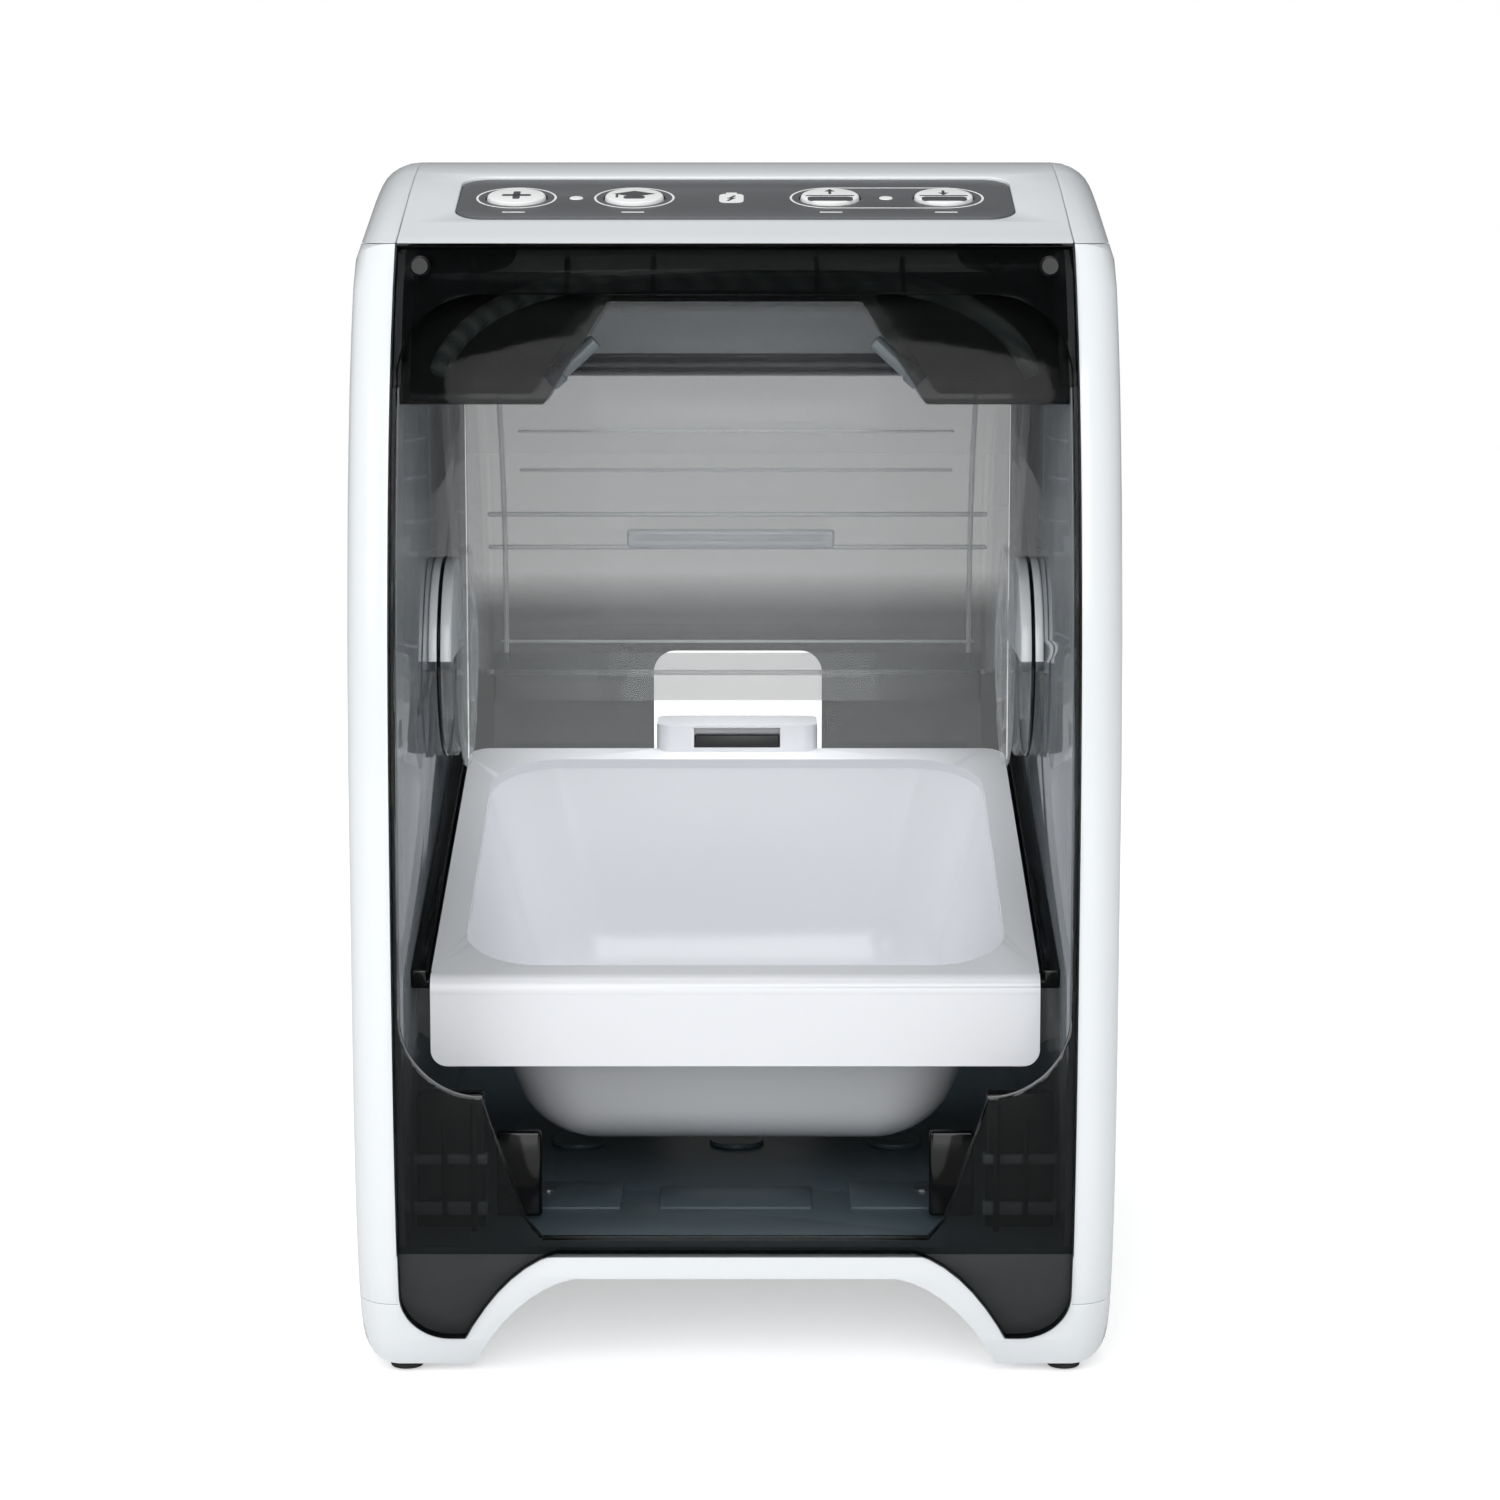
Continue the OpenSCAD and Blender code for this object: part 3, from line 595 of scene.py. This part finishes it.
# Prints in millimetres and degrees: the battery sign's middle and the turn of its bolt, the line of the dashes,
# and the height of the ink over what it is printed on.
BATTERY_X = -1.3
BOLT_TURN = -28
DASH_Y = -17.2
PRINT_RISE = 0.02


def lay_on_deck(shape):
    """Moves a shape that was modelled flat at the origin onto the sloping deck."""
    hold(shape)
    shape.location = [c * MM for c in DECK_PLACE]
    shape.rotation_euler = (math.radians(DECK_SLOPE), 0, 0)
    return settle(shape)


def flat_outline(name, x, radius, line, rise, stretch=0):
    """A printed ring about a key. Stretch draws its right half out to a long oval."""
    shape = ring(name, radius, line / 2, (x, 0, rise), sides=72, profile=8)
    if stretch:
        work(shape, "FACE", lambda middle, normal: middle.x > x + 0.1,
             (bpy.ops.transform.translate, {"value": (stretch * MM, 0, 0)}))
    flat = 0.2
    shape.scale.z = flat
    shape.location.z = rise * MM * (1 - flat)
    return settle(shape)


def flat_bar(name, x, y, width, length, rise, turn=0):
    """A printed bar with its middle at x and y on the deck."""
    shape = block(name, (-width / 2, -length / 2, -0.03), (width / 2, length / 2, 0.03))
    hold(shape)
    shape.location = (x * MM, y * MM, rise * MM)
    shape.rotation_euler.z = math.radians(turn)
    settle(shape)
    return work(shape, "EDGE", lambda middle, along: abs(along.z) > 0.9,
                (bpy.ops.mesh.bevel, {"offset": min(width, length) * 0.3 * MM, "segments": 3}))


def flat_arrow(name, x, y, size, rise, up):
    """A printed arrow head that points up or down the deck."""
    shape = rod(name, size, 0.06, (0, 0, 0), sides=3)
    hold(shape)
    shape.rotation_euler.z = 0 if up else math.pi
    shape.location = (x * MM, y * MM, rise * MM)
    return settle(shape)


class FEEDER_OT_prints(bpy.types.Operator):
    """Prints the outlines, the plain signs and the battery sign on the control deck and its keys"""
    bl_idname = "feeder.prints"
    bl_label = "Prints"

    def execute(self, context):
        s = context.scene.feeder_prints
        ink = PANEL_TOP + PRINT_RISE
        oval = KEY_X["button_close"] - KEY_X["button_open"]
        marks = [
            flat_outline("outline_add", KEY_X["button_add"], s.outline_radius, s.line, ink),
            flat_outline("outline_train", KEY_X["button_train"], s.outline_radius, s.line, ink),
            flat_outline("outline_lid_keys", KEY_X["button_open"], s.outline_radius, s.line, ink, stretch=oval),
            flat_bar("battery_body", BATTERY_X, -0.6, 7.6, 11.0, ink),
            flat_bar("battery_tip", BATTERY_X, 5.6, 3.4, 1.6, ink),
        ]
        marks += [flat_bar("dash", x, DASH_Y, 7.0, 1.0, ink) for x in KEY_X.values()]
        finish_piece(lay_on_deck(join("panel_print", marks)), "housing", "white_button", finish="print_ink")
        over = ink + 0.05
        bolt = [flat_bar("bolt_upper", -1.0, 1.0, 0.9, 3.6, over, turn=BOLT_TURN),
                flat_bar("bolt_lower", -1.6, -2.2, 0.9, 3.6, over, turn=BOLT_TURN),
                flat_bar("bolt_waist", BATTERY_X, -0.6, 2.6, 0.9, over)]
        finish_piece(lay_on_deck(join("battery_bolt", bolt)), "housing", "grey_overlay", finish="icon_ink")
        top = KEY_TOP + PRINT_RISE
        x = KEY_X["button_add"]
        self.key_sign("button_add", [flat_bar("plus_across", x, 0, 9.0, 2.2, top),
                                     flat_bar("plus_up", x, 0, 2.2, 9.0, top)])
        x = KEY_X["button_train"]
        board = block("cap_board", (-4.6, -4.6, -0.03), (4.6, 4.6, 0.03))
        hold(board)
        board.rotation_euler.z = math.radians(45)
        settle(board)
        board.scale.y = 0.55
        board.location = (x * MM, 1.6 * MM, top * MM)
        self.key_sign("button_train", [settle(board), flat_bar("cap_crown", x, -2.6, 6.6, 3.4, top),
                                       flat_bar("cap_tassel", x - 5.4, -0.6, 0.8, 4.6, top)])
        for name, up in (("button_open", True), ("button_close", False)):
            x = KEY_X[name]
            self.key_sign(name, [flat_bar("lid_line", x, -0.6, 15.0, 1.0, top),
                                 flat_bar("bowl_line", x, -4.4, 14.0, 5.0, top),
                                 flat_bar("stem", x, 3.4, 0.9, 4.4, top),
                                 flat_arrow("head", x, 5.4 if up else 2.0, 1.9, top, up)])
        return {"FINISHED"}

    def key_sign(self, key, marks):
        """Joins the marks of one key's sign and lets it ride on the key."""
        finish_piece(lay_on_deck(join(key + "_sign", marks)), key, "grey_overlay", finish="icon_ink")


class FeederPrints(bpy.types.PropertyGroup):
    outline_radius: bpy.props.FloatProperty(
        name="Outline radius", description="Of the printed ring about each key, in millimetres", default=12.2)
    line: bpy.props.FloatProperty(
        name="Line width", description="Of the printed rings, in millimetres", default=0.7)


# The lid in millimetres: its pivot, its radius, the height of its front edge at rest and its uprights' places.
PIVOT = (0, 0, 206)
LID_RADIUS = 120
LID_FRONT_EDGE = 305
UPRIGHT_X = 84


def on_drum(angle, radius=LID_RADIUS):
    """Depth and height of a point on the lid's curve, at an angle above its rear."""
    turn = math.radians(angle)
    return radius * math.cos(turn), PIVOT[2] + radius * math.sin(turn)


def drum_bar(name, x0, x1, angle, radius, width, height):
    """A moulded bar along the lid's width, laid on its curve and rounded all round."""
    shape = block(name, (x0, -height / 2, -width / 2), (x1, height / 2, width / 2))
    hold(shape)
    y, z = on_drum(angle, radius)
    shape.location = (0, y * MM, z * MM)
    shape.rotation_euler.x = math.radians(angle)
    settle(shape)
    return soften(shape, min(width, height) * 0.45, segments=5)


class FEEDER_OT_lid_details(bpy.types.Operator):
    """Models the ribs, the grip and the thickened edges of the clear lid, with painted highlight on the ribs and
    painted shade on the upper edge
    """
    bl_idname = "feeder.lid_details"
    bl_label = "Lid details"

    def execute(self, context):
        s = context.scene.feeder_lid
        half = s.half_width
        bars = [
            drum_bar("lid_step_upper", -half, half, 18.6, LID_RADIUS + 0.2, 1.6, 1.6),
            drum_bar("lid_step_lower", -half, half, 12.6, LID_RADIUS + 0.2, 1.6, 1.6),
            drum_bar("lid_grip", -40, 35, 14.0, LID_RADIUS + 0.6, 7.0, 3.0),
            drum_bar("lid_grip_core", -36, 31, 14.0, LID_RADIUS + 2.0, 2.4, 1.6),
            drum_bar("lid_lower_edge", -half, half, -9.4, LID_RADIUS - 1.1, 1.8, 3.0),
            drum_bar("lid_panel_top", -78, 77, 35.1, LID_RADIUS + 0.1, 0.9, 0.9),
            drum_bar("lid_panel_foot", -78, 77, 27.1, LID_RADIUS + 0.1, 1.1, 1.1),
            drum_bar("lid_band_low", -half + 4, half - 4, -4.0, LID_RADIUS + 0.1, 1.0, 1.0),
        ]
        for side in (-1, 1):
            bars.append(self.upright(side * UPRIGHT_X, 0.9))
        # The ribs and edge bars are real, but their whitish finish is painted highlight: bright lines where the
        # clear lid catches the light.
        finish_piece(join("lid_ribs", bars), "lid", "clear_pc", finish="clear_rib")
        # The clear lid's upper edge takes a dark smoked finish as painted shade: a dark line along the edge under
        # the ceiling.
        edge = drum_bar("lid_upper_edge_painted_shade", -half, half, 125.2, LID_RADIUS - 1.1, 1.0, 1.6)
        finish_piece(edge, "lid", "clear_pc", finish="smoke_hood")
        return {"FINISHED"}

    def upright(self, x, thick):
        """A thin rib that runs up the curve of the lid."""
        shape = ring("lid_upright", LID_RADIUS, thick, (x, 0, PIVOT[2]), (0, 90, 0), sides=144, profile=8)
        low = on_drum(-8)[1]
        return work(shape, "FACE",
                    lambda middle, normal: middle.z < low or (middle.y < 0 and middle.z < LID_FRONT_EDGE),
                    (bpy.ops.mesh.delete, {"type": "FACE"}), (bpy.ops.mesh.select_all, {"action": "SELECT"}),
                    (bpy.ops.mesh.fill_holes, {"sides": 8}))


class FeederLid(bpy.types.PropertyGroup):
    half_width: bpy.props.FloatProperty(
        name="Half width", description="From the middle to the end of each lid rib, in millimetres", default=90.0)


# The hubs in millimetres: how far out the flange's spokes stand, their circle, and where the clear half starts.
SPOKE_X = 88.3
SPOKE_RADIUS = 30
HUB_SPLIT = PIVOT[2] + 2


class FEEDER_OT_hub_details(bpy.types.Operator):
    """Models the caps, the gaps and the flange ribs of the two hubs, and clears their lower halves"""
    bl_idname = "feeder.hub_details"
    bl_label = "Hub details"

    def execute(self, context):
        for side, name in ((-1, "left"), (1, "right")):
            turn = (0, 90, 0)
            for node in (name + "_hub", name + "_hub_mount"):
                self.clear_below(bpy.data.objects[node + "_moulding"])
            cap = rod("cap", 15, 2.4, (side * 87.6, 0, PIVOT[2]), turn, sides=64)
            work(cap, "FACE", lambda middle, normal: normal.x * side < -0.9,
                 (bpy.ops.mesh.inset, {"thickness": 3 * MM}),
                 (bpy.ops.transform.translate, {"value": (side * 0.9 * MM, 0, 0)}),
                 (bpy.ops.mesh.inset, {"thickness": 2 * MM}),
                 (bpy.ops.transform.translate, {"value": (-side * 0.5 * MM, 0, 0)}))
            finish_piece(soften(cap, 0.5), "lid", "clear_pc")
            cap.name = name + "_hub_cap"
            groove = ring(name + "_hub_gap", 32.6, 0.7, (side * 96.1, 0, PIVOT[2]), turn)
            finish_piece(groove, "housing", "black_abs")
            rims = [ring("rim", 36, 0.8, (side * 89.1, 0, PIVOT[2]), turn, sides=96),
                    ring("rim_inner", 24, 0.6, (side * 88.4, 0, PIVOT[2]), turn, sides=96)]
            for angle in range(0, 360, 45):
                y = SPOKE_RADIUS * math.cos(math.radians(angle))
                z = SPOKE_RADIUS * math.sin(math.radians(angle))
                spoke = block("spoke", (88.0, -6, -0.5), (88.6, 6, 0.5))
                hold(spoke)
                spoke.rotation_euler.x = math.radians(angle)
                spoke.location = (0, y * MM, (PIVOT[2] + z) * MM)
                settle(spoke)
                if side < 0:
                    work(spoke, "FACE", everything,
                         (bpy.ops.transform.translate, {"value": (-2 * SPOKE_X * MM, 0, 0)}))
                rims.append(spoke)
            finish_piece(join(name + "_flange_ribs", rims), "lid", "clear_pc")
        return {"FINISHED"}

    def clear_below(self, disc):
        """Gives the lower half of a hub disc the clear finish of its window."""
        second_finish(disc, "clear_pc", HUB_SPLIT)
        work(disc, "FACE", lambda middle, normal: middle.z < HUB_SPLIT, (bpy.ops.object.material_slot_assign, {}))


class FEEDER_OT_coil_tape(bpy.types.Operator):
    """Winds the cloth tape over the antenna behind the top of the tinted frame"""
    bl_idname = "feeder.coil_tape"
    bl_label = "Coil tape"

    def execute(self, context):
        coil = copy_of_node("antenna_coil", "antenna_tape")
        finish_with(coil, "SUBSURF", levels=2, render_levels=2)
        hold(coil)
        bpy.ops.object.shade_smooth()
        finish_piece(coil, "housing", "coil_tape", "antenna_coil")
        return {"FINISHED"}


# Boxes that show through the legs, in millimetres: from and to in reach from the middle plane, in depth and in
# height, and the radius of their edges. Then the heights of the ridges, and the reach of the ceiling's ribs.
LEG_BOXES = (
    (77, 98, -112, -106, 40, 84, 1.0), (79, 81, -118, -110, 30, 82, 0.8), (88, 89.6, -120, -110, 44, 78, 0.6),
    (60, 74, -104, -100, 43, 70, 1.2),
)
LEG_RIDGE_HEIGHTS = ((46, 50), (62, 65))
CEILING_RIB_REACH = ((50, 51.4), (24, 25.4), (78, 79.4))
# Place of the outer floor bosses in millimetres, and the lean of the pod posts in degrees.
BOSS_X = 53
POST_LEAN = 48


class FEEDER_OT_frame_details(bpy.types.Operator):
    """Models what shows through the tinted frame: ribs, posts, leg boxes and floor bosses"""
    bl_idname = "feeder.frame_details"
    bl_label = "Frame details"

    def execute(self, context):
        blacks, posts, bosses, ridges = [], [], [], []
        for side in (-1, 1):
            def span(a, b):
                return (min(side * a, side * b), max(side * a, side * b))
            for a, b, y0, y1, z0, z1, edge in LEG_BOXES:
                x0, x1 = span(a, b)
                blacks.append(soften(block("leg_box", (x0, y0, z0), (x1, y1, z1)), edge))
            x0, x1 = span(76, 99)
            for z0, z1 in LEG_RIDGE_HEIGHTS:
                ridges.append(soften(block("leg_ridge", (x0, -114, z0), (x1, -108, z1)), 0.8))
            for a, b in CEILING_RIB_REACH:
                x0, x1 = span(a, b)
                blacks.append(soften(block("ceiling_rib", (x0, -98, 326), (x1, -84, 338)), 0.4))
            lean = (0, -side * POST_LEAN, 0)
            posts.append(soften(rod("pod_post", 2.4, 18, (side * 48.8, -94, 307), lean, sides=32), 0.8))
            posts.append(soften(rod("pod_post_collar", 3.1, 5, (side * 54.4, -94, 302), lean, sides=32), 0.8))
            bosses.append(self.boss("floor_boss", side * BOSS_X))
            x0, x1 = span(36, 70)
            bosses.append(soften(block("floor_step", (x0, -92, 41.6), (x1, -60, 42.9)), 0.5))
        bosses.append(self.boss("floor_boss_middle", 0))
        bosses.append(soften(block("floor_step_middle", (-24, -92, 41.6), (24, -66, 42.9)), 0.5))
        finish_piece(join("frame_inner_ribs", blacks), "housing", "black_abs")
        finish_piece(join("pod_posts", posts), "housing", "grey_pc", finish="post_chrome")
        # The leg ridges take this light grey as painted highlight: light lines across the tinted legs.
        finish_piece(join("leg_ridges_painted_highlight", ridges), "housing", "grey_pc", finish="post_chrome")
        finish_piece(join("floor_bosses", bosses), "housing", "smoke_pc", finish="smoke_floor")
        return {"FINISHED"}

    def boss(self, name, x):
        """A round boss on the floor with a shallow dish in its top."""
        shape = rod(name, 9, 1.6, (x, -6, 42.8), sides=64)
        work(shape, "FACE", lambda middle, normal: normal.z > 0.9,
             (bpy.ops.mesh.inset, {"thickness": 2.5 * MM}),
             (bpy.ops.transform.translate, {"value": (0, 0, -0.7 * MM)}))
        return soften(shape, 0.4)


PROPERTY_GROUPS = {"feeder_stage": FeederStage, "feeder_moulding": FeederMoulding, "feeder_prints": FeederPrints,
                   "feeder_lid": FeederLid}
OPERATORS = [FEEDER_OT_stage, FEEDER_OT_finishes, FEEDER_OT_mouldings, FEEDER_OT_bezel_rim, FEEDER_OT_prints,
             FEEDER_OT_lid_details, FEEDER_OT_hub_details, FEEDER_OT_coil_tape, FEEDER_OT_frame_details]


class FEEDER_PT_panel(bpy.types.Panel):
    """Lists the steps that finish the feeder"""
    bl_idname = "FEEDER_PT_panel"
    bl_label = "Feeder"
    bl_space_type = "VIEW_3D"
    bl_region_type = "UI"
    bl_category = "Feeder"

    def draw(self, context):
        for operator in OPERATORS:
            self.layout.operator(operator.bl_idname)


def register():
    for cls in [*PROPERTY_GROUPS.values(), *OPERATORS, FEEDER_PT_panel]:
        bpy.utils.register_class(cls)
    for name, group in PROPERTY_GROUPS.items():
        setattr(bpy.types.Scene, name, bpy.props.PointerProperty(type=group))


def unregister():
    for name in PROPERTY_GROUPS:
        delattr(bpy.types.Scene, name)
    for cls in reversed([*PROPERTY_GROUPS.values(), *OPERATORS, FEEDER_PT_panel]):
        bpy.utils.unregister_class(cls)


def main():
    register()
    make_materials()
    for operator in OPERATORS:
        group, name = operator.bl_idname.split(".")
        getattr(getattr(bpy.ops, group), name)()


if __name__ == "__main__":
    main()
